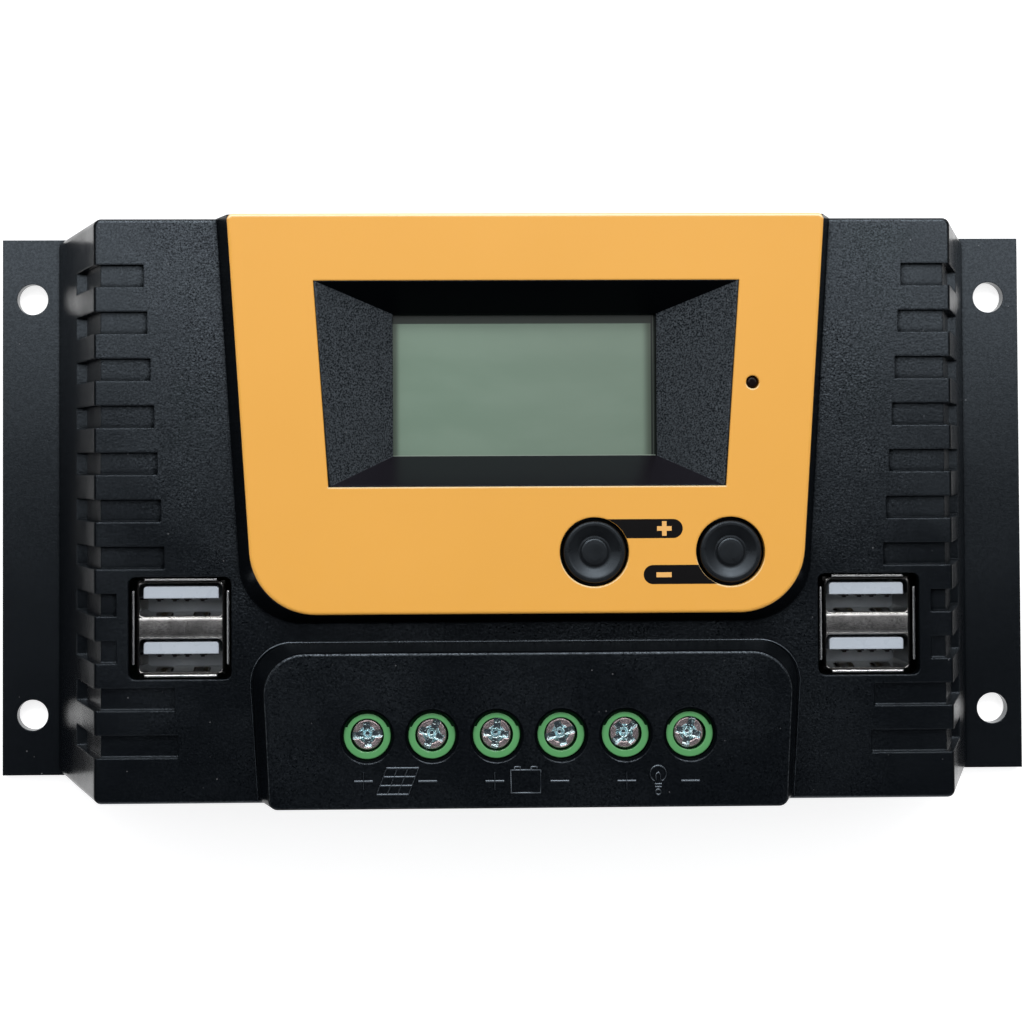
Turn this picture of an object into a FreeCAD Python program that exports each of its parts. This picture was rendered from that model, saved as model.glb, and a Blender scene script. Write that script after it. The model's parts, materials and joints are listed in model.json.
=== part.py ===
import FreeCAD, Part
import os
import re

import Sketcher
from FreeCAD import Placement, Rotation, Vector

# A wall-mounted solar charge controller, lying on its back with its face up.
# Origin: middle of the base plate's underside. +X runs along the long side, +Y towards the display end
# and away from the wire terminals, +Z out of the face. All sizes are millimetres.

SIZES = {
    # base plate, with a mounting wing past each side of the cover
    "plate_length": 180.0,
    "plate_width": 94.0,
    "plate_thick": 2.5,
    "mount_spacing_x": 169.5,
    "mount_spacing_y": 73.0,
    "mount_hole_radius": 2.7,
    # cover: two slanted sides, two upright ends
    "cover_foot_half": 80.1,
    "cover_top_half": 69.0,
    "cover_end": 46.8,
    "deck_top": 38.0,
    "wall": 2.0,
    "side_wall": 2.1,
    "edge_round": 0.6,
    "corner_round": 1.2,
    # raised block that carries the face panel
    "block_top": 44.0,
    "face_top": 45.5,
    "face_end_half": 47.27,
    "face_low_half": 43.15,
    "face_low_y": -16.35,
    "face_corner": 10.5,
    "skirt": 2.5,
    "face_skirt": 2.05,
    "face_round": 0.5,
    # display funnel
    "funnel_far_y": 36.2,
    "funnel_far_half": 33.65,
    "funnel_near_y": 3.65,
    "funnel_near_half": 31.35,
    "window_half": 21.2,
    "window_far_y": 31.3,
    "window_near_y": 8.5,
    "funnel_floor": 38.5,
    "throat_depth": 1.9,
    "rim_top": 45.3,
    "funnel_wall": 1.6,
    "panel_gap": 0.05,
    # hood over the wire terminals
    "hood_end_half": 40.72,
    "hood_far_half": 41.92,
    "hood_far_y": -22.3,
    "hood_corner": 6.6,
    "hood_skirt": 1.2,
    "hood_round": 0.45,
    "hood_near_corner": 1.5,
    "hood_top_wall": 2.2,
    "hood_hole_radius": 3.9,
    "hood_hole_chamfer": 0.35,
    "front_slot_half": 30.7,
    "front_slot_low": 20.6,
    "front_slot_top": 32.0,
    # vent notches down both sides
    "notch_step": 7.5275,
    "notch_width": 3.6,
    "notch_depth": 1.2,
    "notch_bite": 1.26,
    "notch_low": 21.0,
    "vent_height": 3.0,
    "notch_reach": 61.1,
    "notch_reach_step": 0.54,
    "notch_reach_short": 65.5,
    # push buttons and indicator
    "button_left_x": 10.45,
    "button_right_x": 31.95,
    "button_y": -6.7,
    "button_hole_radius": 5.47,
    "cap_radius": 4.9,
    "cap_top": 45.85,
    "cap_flange_radius": 6.3,
    "cap_flange_top": 41.9,
    "cap_flange_thick": 1.4,
    "cap_stem_radius": 2.2,
    "cap_wall": 1.2,
    "cap_roof": 2.2,
    "cap_bevel": 0.35,
    "plunger_top": 37.5,
    "plunger_radius": 1.7,
    "plunger_bottom": 22.6,
    "plunger_clearance": 0.06,
    "switch_side": 6.2,
    "switch_height": 3.9,
    "led_x": 35.64,
    "led_y": 19.98,
    "pipe_radius": 0.98,
    "pipe_hole_radius": 1.05,
    "pipe_top": 45.1,
    # circuit board
    "board_top": 20.5,
    "board_thick": 1.6,
    "board_half_x": 66.0,
    "board_half_y": 43.6,
    "post_x": 61.5,
    "post_y": 39.0,
    "post_radius": 3.0,
    "thread_radius": 1.5,
    "thread_gap": 0.05,
    "hole_gap": 0.15,
    "boss_hole_depth": 13.0,
    "screw_head_radius": 2.8,
    "screw_head_height": 2.0,
    "countersink_radius": 2.9,
    "countersink_depth": 1.5,
    "boss_x": 71.0,
    "boss_y": 40.0,
    "boss_radius": 3.2,
    "boss_top": 20.0,
    # wire terminals: a rising cage on a captive screw
    "pole_pitch": 10.16,
    "pole_y": -35.35,
    "block_width": 20.3,
    "block_front": -44.6,
    "block_back": -25.6,
    "block_height": 43.2,
    "collar_top": 44.2,
    "collar_radius": 3.68,
    "collar_small_radius": 3.4,
    "collar_step_y": 1.3,
    "collar_bore": 2.63,
    "head_seat": 40.2,
    "head_radius": 2.45,
    "head_top": 43.1,
    "shank_radius": 1.75,
    "shank_gap": 0.05,
    "chamber_half": 4.1,
    "chamber_back": -27.0,
    "chamber_low": 21.9,
    "chamber_top": 35.5,
    "cage_half": 3.9,
    "cage_front": -43.2,
    "cage_back": -30.0,
    "cage_low": 22.3,
    "cage_top": 31.5,
    "cage_wall": 1.1,
    "cage_plate": 1.2,
    "bar_half": 2.4,
    "bar_top": 30.2,
    "bar_thick": 1.2,
    "bar_leg_back": -27.2,
    "bar_front": -43.4,
    "head_round": 0.25,
    "drive_long": 3.9,
    "drive_width": 1.1,
    "drive_depth": 1.2,
    "drive_slot_long": 5.2,
    "drive_slot_deep": 0.8,
    "drive_cone": 1.45,
    "drive_cone_deep": 1.9,
    # stacked power sockets
    "socket_x": 55.35,
    "socket_y": -18.8,
    "socket_hole": 16.4,
    "socket_hole_round": 1.2,
    "socket_top": 36.9,
    "shell_x": 14.0,
    "shell_y": 15.0,
    "shell_sheet": 0.35,
    "shell_round": 1.15,
    "lip_x": 15.6,
    "lip_y": 15.8,
    "lip_height": 1.6,
    "lip_corner": 2.0,
    "port_pitch": 8.9,
    "port_wide": 13.3,
    "port_round": 0.8,
    "port_tall": 5.4,
    "tongue_wide": 12.0,
    "tongue_thick": 1.9,
    "tongue_shift": 1.15,
    "tongue_top": 36.0,
    "tongue_round": 0.5,
    "socket_base": 5.0,
    "contact_wide": 1.0,
    "contact_thick": 0.3,
    # display stack
    "glass_half_x": 25.0,
    "glass_low_y": 4.5,
    "glass_far_y": 35.3,
    "glass_thick": 2.2,
    "light_thick": 3.0,
    "light_inset_x": 1.0,
    "light_inset_y": 2.5,
    "holder_thick": 1.5,
    "holder_leg_x": 22.0,
    "holder_leg_inset": 4.5,
    "holder_leg_radius": 1.5,
    "display_pin": 0.5,
    "display_pin_step": 2.54,
    # screws that hold the board, the cover and the clamp bar
    "cross_long": 2.6,
    "cross_wide": 0.7,
    "cross_deep": 1.1,
    "short_screw": 9.0,
    "long_screw": 13.0,
    "sunk_gap": 0.02,
    # transistors on insulating pads under the board
    "device_step": 15.0,
    "device_wide": 10.0,
    "device_front": -9.0,
    "device_back": 0.2,
    "device_tall": 4.5,
    "tab_back": 6.5,
    "tab_thick": 1.3,
    "pad_thick": 0.3,
    "pad_margin": 1.0,
    "lead_step": 2.54,
    "lead_y": -12.5,
    "lead_wide": 0.8,
    "lead_thick": 0.6,
    "lead_rise": 2.3,
    "lead_hole_radius": 0.75,
    "clamp_half": 52.0,
    "clamp_front": -4.5,
    "clamp_y": -2.2,
    "clamp_thick": 3.0,
    "clamp_screw_x": 46.0,
    # parts on top of the board
    "can_x": 57.0,
    "can_y": 14.5,
    "can_step": 12.5,
    "can_radius": 5.0,
    "can_tall": 13.5,
    "can_round": 0.8,
    "ring_x": -55.0,
    "ring_y": 6.0,
    "ring_radius": 8.5,
    "ring_bore": 4.5,
    "ring_lift": 2.0,
    "ring_tall": 7.0,
    "wire_thick": 0.85,
    "wire_gap": 0.05,
    "fuse_x": -55.0,
    "fuse_y": 28.5,
    "fuse_step": 9.0,
    "fuse_long": 19.0,
    "fuse_wide": 5.0,
    "fuse_lift": 6.0,
    "fuse_tall": 7.0,
    "blade_wide": 5.0,
    "blade_thick": 0.7,
    "blade_x": 6.5,
    "chip_x": -8.0,
    "chip_y": -5.0,
    "chip_side": 9.0,
    "chip_tall": 1.5,
    "chip_leg": 1.2,
    "chip_leg_wide": 0.3,
    "chip_leg_step": 0.8,
    "regulator_x": -47.0,
    "regulator_y": -34.0,
    "diode_x": 47.0,
    "diode_y": -36.0,
    "pair_step": 10.0,
    "flat_part_x": 6.8,
    "flat_part_y": 5.9,
    "flat_part_tall": 2.35,
    "shunt_x": -33.5,
    "shunt_y": 22.0,
    "shunt_step": 5.0,
    "shunt_wide": 2.2,
    "shunt_long": 12.0,
    "shunt_tall": 4.2,
    "small_x": -8.9,
    "small_y": -17.25,
    "small_step_x": 4.2,
    "small_step_y": 3.5,
    "small_long": 2.0,
    "small_wide": 1.25,
    "small_tall": 0.6,
}

doc = FreeCAD.newDocument("charge_controller")
sheet = doc.addObject("Spreadsheet::Sheet", "Sizes")
for row, (alias, size) in enumerate(SIZES.items(), start=1):
    sheet.set(f"A{row}", alias)
    sheet.set(f"B{row}", str(size))
    sheet.setAlias(f"B{row}", alias)
doc.recompute()

NODES = []
WORD = re.compile(r"[a-z][a-z0-9_]*")
SIDES = {"left": -1, "right": 1}
# radius and depth round the ring-shaped dish in a button's top
CAP_DISH = ((4.15, 0), (3.95, 0.05), (3.3, 0.27), (2.7, 0.46), (2.45, 0.5), (2.2, 0.36), (2.1, 0.1), (1.9, 0.02),
            (1.3, 0))
NOTCHES = 11
SHORT_NOTCHES = (7, 8)  # two notches stop early, beside the power sockets
SCREW_TURNS = (4, 68, 84, 16, 42, 75)  # how far round each terminal screw happens to stand, in degrees
DISPLAY_PINS = 14
TRANSISTORS = 6
CONTACTS_X = (-3.5, -1.0, 1.0, 3.5)
WINDING_TURNS = 14
CHIP_LEGS = 8
SMALL_PARTS = 12

# How far the slanted sides move out for each millimetre down.
SLOPE = "(cover_foot_half - cover_top_half) / (deck_top - plate_thick)"
BOARD_LOW = "board_top - board_thick"


def formula(text):
    """A formula in size names, with each name pointed at its cell in the sheet."""
    def pointed(word):
        return f"Sizes.{word.group()}" if word.group() in SIZES else word.group()

    return WORD.sub(pointed, str(text))


def value(text):
    """What a formula comes to."""
    return float(sheet.evalExpression(formula(text)))


def bind(thing, **formulas):
    for name, text in formulas.items():
        thing.setExpression(name, formula(text))
    return thing


def place(thing, x=0, y=0, z=0, rotation=None):
    """Puts an object at a place whose coordinates follow the sheet."""
    if rotation:
        thing.Placement = Placement(Vector(), rotation)
    for letter, text in (("x", x), ("y", y), ("z", z)):
        thing.setExpression(f"Placement.Base.{letter}", formula(text))
    return thing


def node(thing, name):
    """Names a finished piece."""
    thing.Label = name
    NODES.append(thing)
    return thing


def box(name, x, y, z):
    """A box from three (low, high) pairs."""
    made = doc.addObject("Part::Box", name)
    bind(made, Length=f"{x[1]} - ({x[0]})", Width=f"{y[1]} - ({y[0]})", Height=f"{z[1]} - ({z[0]})")
    return place(made, x[0], y[0], z[0])


def around(middle, size):
    """The (low, high) pair of a length centred on a place."""
    return f"{middle} - ({size}) / 2", f"{middle} + ({size}) / 2"


def spread(middle, step, count):
    """Places at an even step, centred on a middle."""
    return [f"{middle} + {i - (count - 1) / 2} * ({step})" for i in range(count)]


def corners_at(x, y):
    return [(f"{x_side} * {x}", f"{y_side} * {y}") for x_side in (-1, 1) for y_side in (-1, 1)]


def cylinder(name, x, y, z, radius):
    made = doc.addObject("Part::Cylinder", name)
    bind(made, Radius=radius, Height=f"{z[1]} - ({z[0]})")
    return place(made, x, y, z[0])


def cone(name, x, y, z, low_radius, high_radius):
    made = doc.addObject("Part::Cone", name)
    bind(made, Radius1=low_radius, Radius2=high_radius, Height=f"{z[1]} - ({z[0]})")
    return place(made, x, y, z[0])


def fuse(name, pieces):
    made = doc.addObject("Part::MultiFuse", name)
    made.Shapes = pieces
    return made


def cut(name, base, tools):
    made = doc.addObject("Part::Cut", name)
    made.Base = base
    made.Tool = tools[0] if len(tools) == 1 else fuse(f"{name}_tools", tools)
    return made


def group(name, pieces):
    """Separate solids that share one node."""
    made = doc.addObject("Part::Compound", name)
    made.Links = pieces
    return node(made, name)


def rounded(name, base, radius, wanted):
    """Rounds the edges of a solid that a test picks out."""
    doc.recompute()
    made = doc.addObject("Part::Fillet", name)
    made.Base = base
    made.Edges = [(i, radius, radius) for i, edge in enumerate(base.Shape.Edges, start=1) if wanted(edge)]
    return made


def upright(edge):
    """True for an edge that isn't level."""
    return edge.BoundBox.ZLength > 0.01


def level_at(height):
    """A test for the edges that lie at one height."""
    return lambda edge: edge.BoundBox.ZLength < 0.01 and abs(edge.BoundBox.ZMin - height) < 0.01


def sketch(name, y=0, z=0, rotation=None):
    """An empty sketch that lies level at a height, or stands across Y if it is turned."""
    return place(doc.addObject("Sketcher::SketchObject", name), 0, y, z, rotation)


def dimension(made, kind, name, text, *where):
    """Adds a named dimension to a sketch and binds it to the sheet."""
    index = made.addConstraint(Sketcher.Constraint(kind, *where, value(text)))
    made.renameConstraint(index, name)
    made.setExpression(f"Constraints.{name}", formula(text))


def polygon(made, points):
    """Fills a sketch with a closed polygon whose corners follow the sheet."""
    corners = [Vector(value(x), value(y), 0) for x, y in points]
    count = len(corners)
    for i in range(count):
        made.addGeometry(Part.LineSegment(corners[i], corners[(i + 1) % count]))
    for i in range(count):
        made.addConstraint(Sketcher.Constraint("Coincident", i, 2, (i + 1) % count, 1))
    for i, (x, y) in enumerate(points):
        dimension(made, "DistanceX", f"x{i}_at", x, -1, 1, i, 1)
        dimension(made, "DistanceY", f"y{i}_at", y, -1, 1, i, 1)
    return made


def rectangle(x, y):
    """The corners of a rectangle from two (low, high) pairs."""
    return [(x[0], y[0]), (x[1], y[0]), (x[1], y[1]), (x[0], y[1])]


def frame_of(end_half, end_y, far_half, far_y, grow=0, grow_far=None):
    """The corners of a tapering outline, grown sideways and past its far end."""
    far = grow if grow_far is None else grow_far
    way = 1 if value(far_y) > value(end_y) else -1
    end_x, far_x, far_edge = f"{end_half} + {grow}", f"{far_half} + {grow}", f"{far_y} + {way} * ({far})"
    return [(f"-({end_x})", end_y), (end_x, end_y), (far_x, far_edge), (f"-({far_x})", far_edge)]


def loft(name, low_points, low_z, top_points, top_z):
    made = doc.addObject("Part::Loft", name)
    sections = [polygon(sketch(f"{name}_low", z=low_z), low_points)]
    sections.append(polygon(sketch(f"{name}_top", z=top_z), top_points))
    made.Sections = sections
    made.Solid = True
    made.Ruled = True
    return made


def extrude(name, drawing, direction, length):
    made = doc.addObject("Part::Extrusion", name)
    made.Base = drawing
    made.DirMode = "Custom"
    made.Dir = direction
    made.Solid = True
    return bind(made, LengthFwd=length)


def column(name, points, z):
    """An upright prism from a list of corners."""
    outline = polygon(sketch(f"{name}_outline", z=z[0]), points)
    return extrude(name, outline, Vector(0, 0, 1), f"{z[1]} - ({z[0]})")


def beam(name, points, y):
    """A prism along Y from corners given as (x, z)."""
    standing = Rotation(Vector(1, 0, 0), 90)
    drawing = polygon(sketch(f"{name}_section", y[0], 0, standing), points)
    return extrude(name, drawing, Vector(0, 1, 0), f"{y[1]} - ({y[0]})")


# ---- base plate ----

def base_plate():
    body = doc.addObject("PartDesign::Body", "plate_body")
    plane = next(f for f in body.Origin.OriginFeatures if f.Role == "XY_Plane")
    outline = body.newObject("Sketcher::SketchObject", "plate_outline")
    outline.AttachmentSupport = [(plane, "")]
    outline.MapMode = "FlatFace"
    half_x, half_y = "plate_length / 2", "plate_width / 2"
    polygon(outline, rectangle((f"-{half_x}", half_x), (f"-{half_y}", half_y)))
    for x_side in (-1, 1):
        for y_side in (-1, 1):
            x, y = f"{x_side} * mount_spacing_x / 2", f"{y_side} * mount_spacing_y / 2"
            radius = value("mount_hole_radius")
            hole = outline.addGeometry(Part.Circle(Vector(value(x), value(y), 0), Vector(0, 0, 1), radius))
            dimension(outline, "DistanceX", f"hole{hole}_x", x, -1, 1, hole, 3)
            dimension(outline, "DistanceY", f"hole{hole}_y", y, -1, 1, hole, 3)
            dimension(outline, "Radius", f"hole{hole}_radius", "mount_hole_radius", hole)
    pad = body.newObject("PartDesign::Pad", "plate_pad")
    pad.Profile = outline
    bind(pad, Length="plate_thick")
    body.Tip = pad
    holes = []
    through = ("-1", "plate_thick + 1")
    for spot, (x, y) in enumerate(corners_at("post_x", "post_y") + corners_at("boss_x", "boss_y")):
        holes.append(cylinder(f"plate_hole_{spot}", x, y, through, "thread_radius + hole_gap"))
        holes.append(cone(f"plate_sink_{spot}", x, y, ("0", "countersink_depth"),
                          "countersink_radius + hole_gap", "thread_radius + hole_gap"))
    for spot, x in enumerate(spread("0", "clamp_screw_x", 3)):
        holes.append(cylinder(f"plate_tap_{spot}", x, "clamp_y", through, "thread_radius"))
    node(cut("base_plate", body, holes), "base_plate")


def pole_x(pole):
    """Where a wire terminal stands along X."""
    return f"{pole - 2.5} * pole_pitch"


# ---- cover ----

FACE = ("face_end_half", "cover_end", "face_low_half", "face_low_y")
HOOD = ("hood_end_half", "-cover_end", "hood_far_half", "hood_far_y")
FUNNEL = ("funnel_far_half", "funnel_far_y", "funnel_near_half", "funnel_near_y")
WINDOW = ("window_half", "window_far_y", "window_half", "window_near_y")


def tapered_box(name, foot_half, foot_z, top_half, top_z, end):
    """The cover's basic form: slanted long sides and upright ends."""
    foot, top = (f"-({foot_half})", foot_half), (f"-({top_half})", top_half)
    points = [(foot[0], foot_z), (foot[1], foot_z), (top[1], top_z), (top[0], top_z)]
    return beam(name, points, (f"-({end})", end))


def round_corners(name, base, radius, end_y):
    """Rounds the two upright edges at one end of a tapering block."""
    limit, reach = value(end_y), 3 * value("skirt")
    return rounded(name, base, radius,
                   lambda edge: upright(edge) and abs(edge.BoundBox.Center.y - limit) < reach)


def top_cover():
    outside = tapered_box("shell_form", "cover_foot_half", "plate_thick", "cover_top_half", "deck_top",
                          "cover_end")
    outside = rounded("shell_corners", outside, value("corner_round"), upright)
    outside = rounded("shell_edges", outside, value("edge_round"), level_at(value("deck_top")))

    block = loft("block_form", frame_of(*FACE, "skirt", "face_skirt"), "deck_top - 1", frame_of(*FACE),
                 "block_top")
    block = round_corners("block_rounded", block, value("face_corner"), FACE[3])

    hood = loft("hood_form", frame_of(*HOOD, "skirt", "hood_skirt"), "deck_top - 1", frame_of(*HOOD),
                "face_top")
    hood = round_corners("hood_rounded", hood, value("hood_corner"), HOOD[3])
    hood = round_corners("hood_near_rounded", hood, value("hood_near_corner"), HOOD[1])
    hood = rounded("hood_softened", hood, value("hood_round"), level_at(value("face_top")))

    inner_foot = "cover_foot_half - side_wall"
    inner_top = f"cover_foot_half - side_wall - (deck_top - wall - plate_thick) * ({SLOPE})"
    cavities = [tapered_box("room", f"{inner_foot} + 1 * ({SLOPE})", "plate_thick - 1", inner_top,
                            "deck_top - wall", "cover_end - wall")]
    inside = frame_of("face_end_half", "cover_end - wall", "face_low_half", "face_low_y", "-wall")
    block_room = column("block_room", inside, ("deck_top - wall - 1", "block_top - wall"))
    corner = value("face_corner - wall")
    cavities.append(round_corners("block_room_rounded", block_room, corner, FACE[3]))
    inside = frame_of("hood_end_half", "wall - cover_end", "hood_far_half", "hood_far_y", "-wall")
    hood_room = column("hood_room", inside, ("deck_top - wall - 1", "face_top - hood_top_wall"))
    cavities.append(round_corners("hood_room_rounded", hood_room, value("hood_corner - wall"), HOOD[3]))
    hollow = cut("cover_hollow", fuse("cover_outside", [outside, block, hood]), cavities)

    added = [hollow]
    around_window = frame_of("window_half", "window_far_y + funnel_wall", "window_half", "window_near_y",
                             "funnel_wall")
    added.append(loft("funnel_wall_form", around_window, "funnel_floor", frame_of(*FUNNEL), "block_top"))
    throat_low = "funnel_floor - throat_depth"
    added.append(column("throat_form", around_window, (throat_low, "funnel_floor + 0.2")))
    added.append(column("funnel_rim", frame_of(*FUNNEL, "-panel_gap"), ("block_top - 1", "rim_top")))
    for spot, (x, y) in enumerate(corners_at("boss_x", "boss_y")):
        added.append(cylinder(f"cover_boss_{spot}", x, y, ("plate_thick", "boss_top"), "boss_radius"))
    solid = fuse("cover_solid", added)

    openings = [loft("funnel_opening", frame_of(*WINDOW), "funnel_floor", frame_of(*FUNNEL), "face_top")]
    throat = (f"{throat_low} - 1", "funnel_floor + 0.01")
    openings.append(column("window_opening", frame_of(*WINDOW), throat))
    deep = ("plate_thick - 1", "plate_thick + boss_hole_depth")
    for spot, (x, y) in enumerate(corners_at("boss_x", "boss_y")):
        openings.append(cylinder(f"boss_hole_{spot}", x, y, deep, "thread_radius"))
    for side in SIDES:
        openings.append(cylinder(f"button_opening_{side}", f"button_{side}_x", "button_y",
                                 ("block_top - wall - 1", "face_top"), "button_hole_radius"))
    openings.append(cylinder("pipe_opening", "led_x", "led_y", ("block_top - wall - 1", "face_top"),
                             "pipe_hole_radius"))
    for pole in range(6):
        x = pole_x(pole)
        openings.append(cylinder(f"screw_opening_{pole}", x, "pole_y", ("deck_top", "face_top + 1"),
                                 "hood_hole_radius"))
        openings.append(cone(f"screw_lead_in_{pole}", x, "pole_y",
                             ("face_top - hood_hole_chamfer", "face_top + 0.01"), "hood_hole_radius",
                             "hood_hole_radius + hood_hole_chamfer"))
    openings.append(box("wire_slot", ("-front_slot_half", "front_slot_half"),
                        ("-cover_end - 1", "wall + 0.5 - cover_end"), ("front_slot_low", "front_slot_top")))
    for side, sign in SIDES.items():
        hole = box(f"socket_opening_{side}", around(f"{sign} * socket_x", "socket_hole"),
                   around("socket_y", "socket_hole"), ("deck_top - wall - 1", "deck_top + 1"))
        openings.append(rounded(f"socket_rounded_{side}", hole, value("socket_hole_round"), upright))
        for row in range(NOTCHES):
            openings += notch(side, sign, row)
    node(cut("top_cover", solid, openings), "top_cover")


def notch(side, sign, row):
    """One notch that wraps over the cover's long edge, and the vent slot at its lower end."""
    reach = "notch_reach_short" if row in SHORT_NOTCHES else f"notch_reach - {row} * notch_reach_step"
    floor_z = "deck_top - notch_depth"
    knee = f"cover_top_half + notch_depth * ({SLOPE}) - notch_bite"
    foot = f"cover_top_half + (deck_top - notch_low) * ({SLOPE}) - notch_bite"
    outer = "cover_foot_half + 1"
    points = [(reach, "deck_top + 1"), (reach, floor_z), (knee, floor_z), (foot, "notch_low"),
              (outer, "notch_low"), (outer, "deck_top + 1")]
    along = around(f"{(NOTCHES - 1) / 2 - row} * notch_step", "notch_width")
    groove = beam(f"notch_{side}_{row}", [(f"{sign} * ({x})", z) for x, z in points], along)
    through = (f"{sign} * ({foot}) - 4", f"{sign} * ({foot}) + 4")
    vent = box(f"vent_{side}_{row}", through, along, ("notch_low", "notch_low + vent_height"))
    return [groove, vent]


# ---- face panel, buttons and indicator ----

def face_panel():
    """The coloured panel laid on the raised block, open over the display and round the buttons."""
    plate = column("panel_blank", frame_of(*FACE), ("block_top", "face_top"))
    plate = round_corners("panel_corners", plate, value("face_corner"), FACE[3])
    plate = rounded("panel_end_corners", plate, 1.0,
                    lambda edge: upright(edge) and edge.BoundBox.Center.y > value("cover_end - 1"))
    plate = rounded("panel_softened", plate, value("face_round"), level_at(value("face_top")))
    through = ("block_top - 1", "face_top + 1")
    openings = [column("panel_display", frame_of(*FUNNEL), through)]
    for side in SIDES:
        openings.append(cylinder(f"panel_button_{side}", f"button_{side}_x", "button_y", through,
                                 "button_hole_radius"))
    openings.append(cylinder("panel_led", "led_x", "led_y", through, "pipe_hole_radius"))
    node(cut("face_panel", plate, openings), "face_panel")


def turned(name, x, y, profile):
    """A round piece turned about an upright axis from a half section given as (radius, height)."""
    body = doc.addObject("PartDesign::Body", name)
    plane = next(f for f in body.Origin.OriginFeatures if f.Role == "XZ_Plane")
    section = body.newObject("Sketcher::SketchObject", f"{name}_section")
    section.AttachmentSupport = [(plane, "")]
    section.MapMode = "FlatFace"
    polygon(section, profile)
    turn = body.newObject("PartDesign::Revolution", f"{name}_turn")
    turn.Profile = section
    turn.ReferenceAxis = (section, ["V_Axis"])
    turn.Angle = 360.0
    body.Tip = turn
    return place(body, x, y)


def buttons():
    """Each cap has a dished top, a flange that the cover keeps in, and a stem that rests on a switch."""
    skirt_low = "cap_flange_top - cap_flange_thick"
    roof, rim = "cap_top - cap_roof", "cap_top - cap_bevel"
    profile = [("0", "plunger_top"), ("cap_stem_radius", "plunger_top"), ("cap_stem_radius", roof),
               ("cap_radius - cap_wall", roof), ("cap_radius - cap_wall", skirt_low),
               ("cap_flange_radius", skirt_low), ("cap_flange_radius", "cap_flange_top"),
               ("cap_radius", "cap_flange_top"), ("cap_radius", rim),
               ("cap_radius - cap_bevel / 3", "cap_top - cap_bevel / 3"), ("cap_radius - cap_bevel", "cap_top")]
    profile += [(str(radius), f"cap_top - {drop}") for radius, drop in CAP_DISH]
    for side in SIDES:
        x = f"button_{side}_x"
        node(turned(f"cap_{side}", x, "button_y", [*profile, ("0", "cap_top")]), f"button_cap_{side}")
        blank = box(f"switch_blank_{side}", around(x, "switch_side"), around("button_y", "switch_side"),
                    ("board_top", "board_top + switch_height"))
        bore = cylinder(f"switch_bore_{side}", x, "button_y", ("plunger_bottom - 0.5", "plunger_top"),
                        "plunger_radius + plunger_clearance")
        node(cut(f"switch_{side}", blank, [bore]), f"switch_body_{side}")
        plunger = cylinder(f"plunger_{side}", x, "button_y", ("plunger_bottom", "plunger_top"),
                           "plunger_radius")
        node(plunger, f"switch_plunger_{side}")


def indicator():
    """A small lamp on the board, and a clear rod that carries its light up to the face."""
    node(box("lamp", around("led_x", "3.5"), around("led_y", "2.8"), ("board_top", "board_top + 0.9")),
         "indicator_led")
    rod = cylinder("pipe_rod", "led_x", "led_y", ("board_top + 1.1", "pipe_top"), "pipe_radius")
    collar = cylinder("pipe_collar", "led_x", "led_y", ("block_top - wall - 1.5", "block_top - wall"),
                      "pipe_radius + 1")
    pipe = fuse("pipe_blank", [rod, collar])
    node(rounded("pipe_domed", pipe, 0.5, level_at(value("pipe_top"))), "light_pipe")


# ---- display ----

def display():
    """Glass under the cover's window, a light panel behind it and a holder that stands on the board."""
    glass_top = "funnel_floor - throat_depth - 0.05"
    glass_low = f"{glass_top} - glass_thick"
    light_low = f"{glass_low} - light_thick"
    glass_y = ("glass_low_y", "glass_far_y")
    node(box("display_glass", ("-glass_half_x", "glass_half_x"), glass_y, (glass_low, glass_top)), "lcd_glass")
    light_x = ("light_inset_x - glass_half_x", "glass_half_x - light_inset_x")
    light_y = ("glass_low_y + light_inset_y", "glass_far_y - light_inset_y")
    node(box("display_light", light_x, light_y, (light_low, glass_low)), "lcd_backlight")
    tray = box("holder_tray", light_x, light_y, (f"{light_low} - holder_thick", light_low))
    legs = []
    for x in ("-holder_leg_x", "holder_leg_x"):
        for y in ("glass_low_y + holder_leg_inset", "glass_far_y - holder_leg_inset"):
            legs.append(cylinder("holder_leg", x, y, ("board_top", light_low), "holder_leg_radius"))
    node(fuse("display_holder", [tray, *legs]), "lcd_holder")
    pins = []
    for y in ("glass_low_y + 1", "glass_far_y - 1"):
        for x in spread("0", "display_pin_step", DISPLAY_PINS):
            pins.append(box("display_pin", around(x, "display_pin"), around(y, "display_pin"),
                            ("board_top", glass_low)))
    group("lcd_pins", pins)


# ---- circuit board and what holds it ----

def lead_places():
    """Where the transistors' leads come up through the board."""
    middles = spread("0", "device_step", TRANSISTORS)
    return [(f"{x} + {k} * lead_step", "lead_y") for x in middles for k in (-1, 0, 1)]


def main_board():
    blank = box("board_blank", ("-board_half_x", "board_half_x"), ("-board_half_y", "board_half_y"),
                (BOARD_LOW, "board_top"))
    through = (f"{BOARD_LOW} - 1", "board_top + 1")
    holes = [cylinder("board_hole", x, y, through, "thread_radius + 0.1")
             for x, y in corners_at("post_x", "post_y")]
    holes += [cylinder("lead_hole", x, y, through, "lead_hole_radius") for x, y in lead_places()]
    for pole in range(6):
        holes.append(box(f"bar_hole_{pole}", around(pole_x(pole), "2 * bar_half + 0.4"),
                         ("bar_leg_back - 1.4", "bar_leg_back + 0.2"), through))
    node(cut("board", blank, holes), "main_pcb")


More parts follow.
